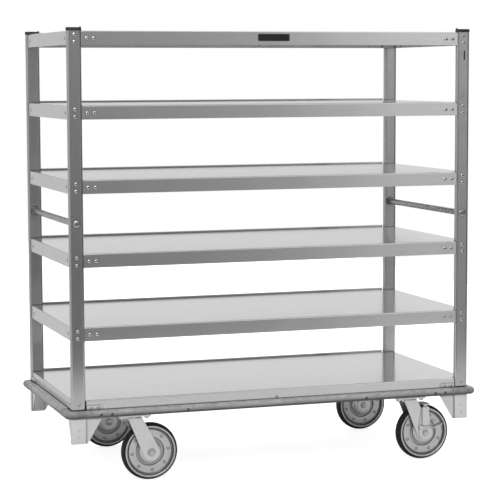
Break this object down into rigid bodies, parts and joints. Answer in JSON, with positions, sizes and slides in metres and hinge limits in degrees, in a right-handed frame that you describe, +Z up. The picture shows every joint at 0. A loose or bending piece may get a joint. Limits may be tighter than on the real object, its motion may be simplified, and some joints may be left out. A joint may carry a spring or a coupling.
{
  "type": "banquet shelf trolley",
  "caption": "Tall multi-level aluminium banquet trolley: open flat shelves between corner posts, push handles at both ends, bumper, swivel casters and corner legs.",
  "frame": {"origin": "centre of the footprint, on the floor under the tyres", "axes": "+X along the length to the braked casters' end, +Y to the back edge with the lips, +Z up"},
  "size_m": [1.552, 0.744, 1.586],
  "materials": {
    "shelf_aluminium": "satin rolled sheet",
    "post_aluminium": "satin extruded tube",
    "leg_sheet": "mill sheet",
    "rivet_aluminium": "bright domed",
    "black_cap": "moulded",
    "black_plate": "satin black",
    "bumper_vinyl": "grey extruded vinyl",
    "bumper_sleeve": "dark grey moulded",
    "dark_screw": "blackened",
    "handle_steel": "satin round bar",
    "handle_screw_steel": "turned head",
    "zinc_steel": "bright zinc plate",
    "wheel_steel": "zinc plated pressing",
    "axle_steel": "zinc plate",
    "black_tyre": "solid rubber"
  },
  "bodies": {
    "frame": {"front_left_post": "post_aluminium", "front_left_post_cap": "black_cap", "front_left_corner_leg": "leg_sheet", "front_left_caster_plate": "zinc_steel", "front_right_post": "post_aluminium", "front_right_post_cap": "black_cap", "front_right_corner_leg": "leg_sheet", "front_right_caster_plate": "zinc_steel", "back_left_post": "post_aluminium", "back_left_post_cap": "black_cap", "back_left_corner_leg": "leg_sheet", "back_left_caster_plate": "zinc_steel", "back_right_post": "post_aluminium", "back_right_post_cap": "black_cap", "back_right_corner_leg": "leg_sheet", "back_right_caster_plate": "zinc_steel", "bottom_deck": "shelf_aluminium", "shelf_1": "shelf_aluminium", "shelf_2": "shelf_aluminium", "shelf_3": "shelf_aluminium", "shelf_4": "shelf_aluminium", "shelf_5": "shelf_aluminium", "corner_brackets": "leg_sheet", "shelf_rivets": "rivet_aluminium", "leg_studs": "rivet_aluminium", "nameplate": "black_plate", "front_bumper_rail": "bumper_vinyl", "back_bumper_rail": "bumper_vinyl", "left_bumper_rail": "bumper_vinyl", "right_bumper_rail": "bumper_vinyl", "bumper_corner_sleeves": "bumper_sleeve", "bumper_screws": "dark_screw", "left_handle_rod": "handle_steel", "left_caster_rail": "leg_sheet", "right_handle_rod": "handle_steel", "right_caster_rail": "leg_sheet", "handle_screws": "handle_screw_steel", "caster_bolts": "zinc_steel"},
    "front_left_caster": {"front_left_caster_fork": "zinc_steel", "front_left_axle": "axle_steel"},
    "front_left_rolling_wheel": {"front_left_wheel": "wheel_steel", "front_left_tyre": "black_tyre"},
    "front_right_caster": {"front_right_caster_fork": "zinc_steel", "front_right_axle": "axle_steel", "front_right_brake_bracket": "zinc_steel"},
    "front_right_rolling_wheel": {"front_right_wheel": "wheel_steel", "front_right_tyre": "black_tyre"},
    "front_right_pedal": {"front_right_brake_pedal": "axle_steel"},
    "front_right_shoe": {"front_right_brake_shoe": "axle_steel"},
    "back_left_caster": {"back_left_caster_fork": "zinc_steel", "back_left_axle": "axle_steel"},
    "back_left_rolling_wheel": {"back_left_wheel": "wheel_steel", "back_left_tyre": "black_tyre"},
    "back_right_caster": {"back_right_caster_fork": "zinc_steel", "back_right_axle": "axle_steel", "back_right_brake_bracket": "zinc_steel"},
    "back_right_rolling_wheel": {"back_right_wheel": "wheel_steel", "back_right_tyre": "black_tyre"},
    "back_right_pedal": {"back_right_brake_pedal": "axle_steel"},
    "back_right_shoe": {"back_right_brake_shoe": "axle_steel"}
  },
  "joints": [
    {"name": "front_left_swivel", "type": "hinge", "parent": "frame", "child": "front_left_caster", "pos_m": [-0.5235, -0.301, 0.2285], "axis": [0, 0, 1], "continuous": true},
    {"name": "front_left_wheel_spin", "type": "hinge", "parent": "front_left_caster", "child": "front_left_rolling_wheel", "pos_m": [-0.4615, -0.301, 0.1016], "axis": [0, 1, 0], "continuous": true},
    {"name": "front_right_swivel", "type": "hinge", "parent": "frame", "child": "front_right_caster", "pos_m": [0.5235, -0.301, 0.2285], "axis": [0, 0, 1], "continuous": true},
    {"name": "front_right_wheel_spin", "type": "hinge", "parent": "front_right_caster", "child": "front_right_rolling_wheel", "pos_m": [0.5855, -0.301, 0.1016], "axis": [0, 1, 0], "continuous": true},
    {"name": "front_right_brake_pedal_tip", "type": "hinge", "parent": "front_right_caster", "child": "front_right_pedal", "pos_m": [0.5675, -0.3403, 0.124], "axis": [0, 1, 0], "range_deg": [0, 9]},
    {"name": "front_right_brake_shoe_drop", "type": "slide", "parent": "front_right_caster", "child": "front_right_shoe", "axis": [0, 0, -1], "range_m": [0, 0.0025]},
    {"name": "back_left_swivel", "type": "hinge", "parent": "frame", "child": "back_left_caster", "pos_m": [-0.5235, 0.301, 0.2285], "axis": [0, 0, 1], "continuous": true},
    {"name": "back_left_wheel_spin", "type": "hinge", "parent": "back_left_caster", "child": "back_left_rolling_wheel", "pos_m": [-0.4615, 0.301, 0.1016], "axis": [0, 1, 0], "continuous": true},
    {"name": "back_right_swivel", "type": "hinge", "parent": "frame", "child": "back_right_caster", "pos_m": [0.5235, 0.301, 0.2285], "axis": [0, 0, 1], "continuous": true},
    {"name": "back_right_wheel_spin", "type": "hinge", "parent": "back_right_caster", "child": "back_right_rolling_wheel", "pos_m": [0.5855, 0.301, 0.1016], "axis": [0, 1, 0], "continuous": true},
    {"name": "back_right_brake_pedal_tip", "type": "hinge", "parent": "back_right_caster", "child": "back_right_pedal", "pos_m": [0.5675, 0.2617, 0.124], "axis": [0, 1, 0], "range_deg": [0, 9]},
    {"name": "back_right_brake_shoe_drop", "type": "slide", "parent": "back_right_caster", "child": "back_right_shoe", "axis": [0, 0, -1], "range_m": [0, 0.0025]}
  ],
  "couplings": [
    {"joint": "front_right_brake_shoe_drop", "follows": "front_right_brake_pedal_tip", "m_per_rad": 0.0159},
    {"joint": "back_right_brake_shoe_drop", "follows": "back_right_brake_pedal_tip", "m_per_rad": 0.0159}
  ]
}
